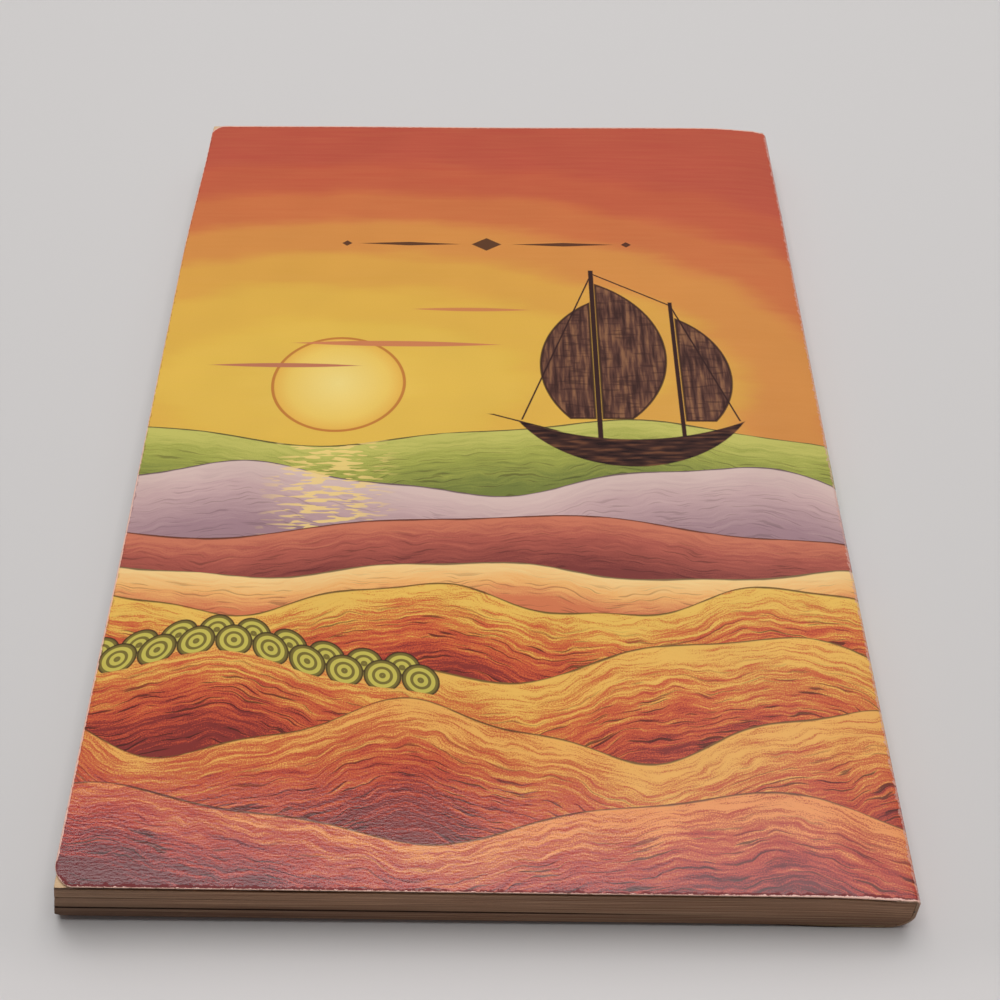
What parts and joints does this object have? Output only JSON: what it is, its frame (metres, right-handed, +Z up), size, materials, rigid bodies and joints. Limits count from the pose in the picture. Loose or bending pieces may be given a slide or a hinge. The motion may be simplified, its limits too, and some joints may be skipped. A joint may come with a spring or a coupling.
{
  "type": "paperback book",
  "caption": "Closed paperback book with a glued, rolled spine, leaning leaves and card covers that fold open beside the spine.",
  "frame": {"origin": "on the ground, under the middle of the book's box", "axes": "+X from the fore edge to the spine, +Y from the tail of the pages to the head, +Z up out of the back cover"},
  "size_m": [0.1324, 0.1938, 0.0104],
  "materials": {
    "leaves": "aged uncoated book paper, toned at the trimmed edges",
    "adhesive": "yellowed hot-melt adhesive",
    "cover_card": "coated card, printed in warm colours outside and plain inside, worn at its edges"
  },
  "bodies": {
    "block": {"page_block": "leaves", "spine_glue": "adhesive", "spine": "cover_card"},
    "back_cover": {"back_cover": "cover_card"},
    "front_cover": {"front_cover": "cover_card"}
  },
  "joints": [
    {"name": "back_cover_fold", "type": "hinge", "parent": "block", "child": "back_cover", "pos_m": [0.0542, 0, 0.0101], "axis": [0, 1, 0], "range_deg": [0, 178]},
    {"name": "front_cover_fold", "type": "hinge", "parent": "block", "child": "front_cover", "pos_m": [0.0542, 0, 0], "axis": [0, -1, 0], "range_deg": [0, 178]}
  ]
}
